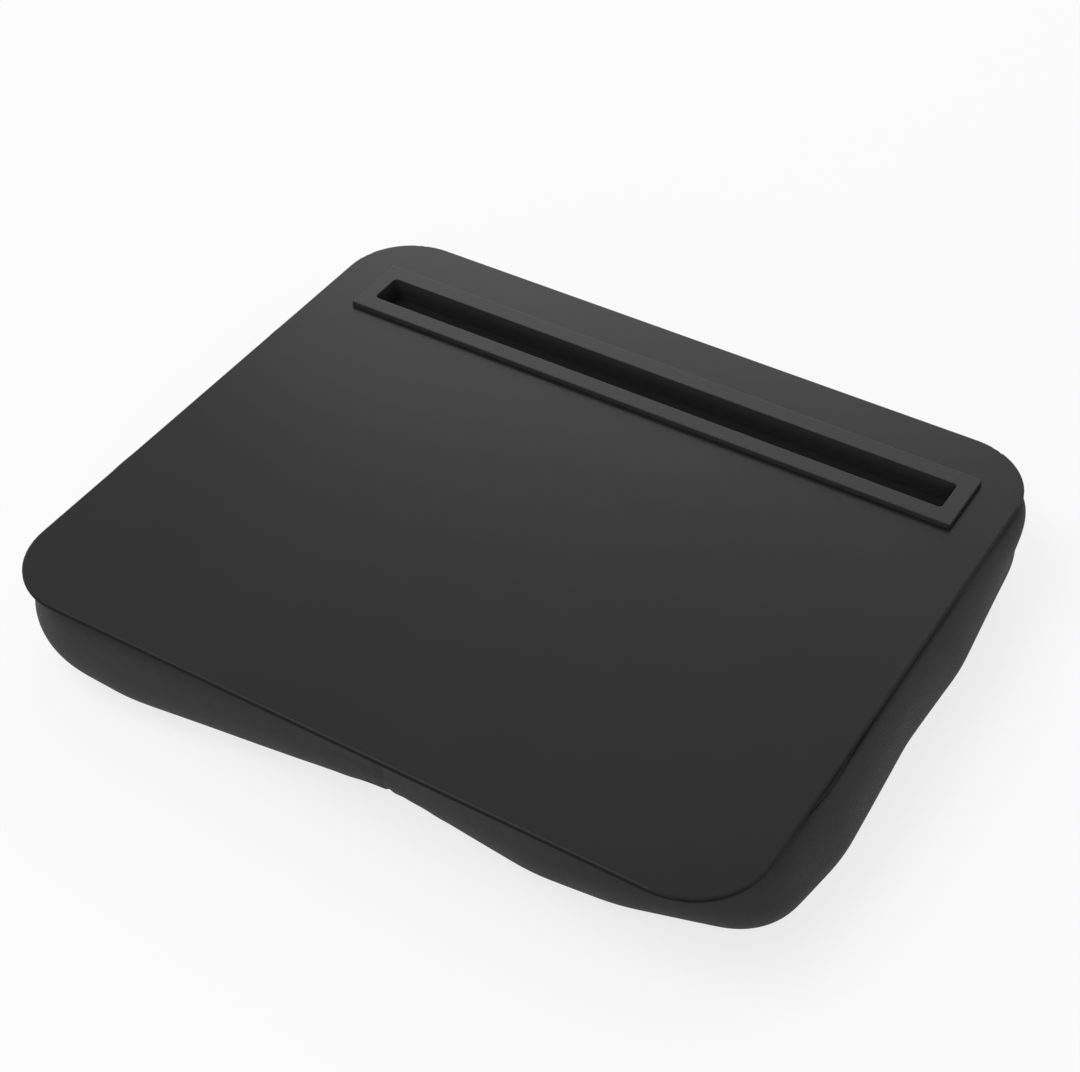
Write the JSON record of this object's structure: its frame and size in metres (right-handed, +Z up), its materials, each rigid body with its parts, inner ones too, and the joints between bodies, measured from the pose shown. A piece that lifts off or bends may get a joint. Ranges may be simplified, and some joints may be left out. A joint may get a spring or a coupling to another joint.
{
  "type": "lap tray with cushion",
  "caption": "Lap tray: thin rounded board with a raised slot for a device near its back edge, lifting off a bead-filled cushion with a zipped cover.",
  "frame": {"origin": "on the floor under the middle of the board", "axes": "+X to the right along the device slot, +Y to the back, where the slot is, +Z up"},
  "size_m": [0.4044, 0.3205, 0.0595],
  "materials": {
    "board_black": "matte",
    "insert_black": "satin",
    "cover_fabric": "soft knit, matte",
    "hook_tape": "matte",
    "loop_tape": "matte",
    "zip_tape": "matte",
    "zip_teeth": "satin",
    "zip_metal": "satin",
    "bag_fabric": "matte",
    "beads": "matte"
  },
  "bodies": {
    "cushion": {"cover_bottom_panel": "cover_fabric", "cover_side_band": "cover_fabric", "cover_top_panel_front": "cover_fabric", "cover_top_panel_rear": "cover_fabric", "bead_bag_bottom": "bag_fabric", "bead_bag_top": "bag_fabric", "bead_fill": "beads", "loop_strip_front": "loop_tape", "loop_strip_rear": "loop_tape", "loop_strip_left": "loop_tape", "loop_strip_right": "loop_tape", "zip_tape_front": "zip_tape", "zip_tape_rear": "zip_tape", "zip_teeth_front": "zip_teeth", "zip_teeth_rear": "zip_teeth", "zip_stop_closed": "zip_metal", "zip_stop_open": "zip_metal"},
    "board_assembly": {"board": "board_black", "slot_insert": "insert_black", "hook_strip_front": "hook_tape", "hook_strip_rear": "hook_tape", "hook_strip_left": "hook_tape", "hook_strip_right": "hook_tape"},
    "zip_slider": {"zip_slider": "zip_metal"}
  },
  "joints": [
    {"name": "board_lift", "type": "slide", "parent": "cushion", "child": "board_assembly", "axis": [0, 0, 1], "range_m": [0, 0.08]},
    {"name": "zip_slide", "type": "slide", "parent": "cushion", "child": "zip_slider", "axis": [-1, 0, 0], "range_m": [0, 0.244]}
  ]
}
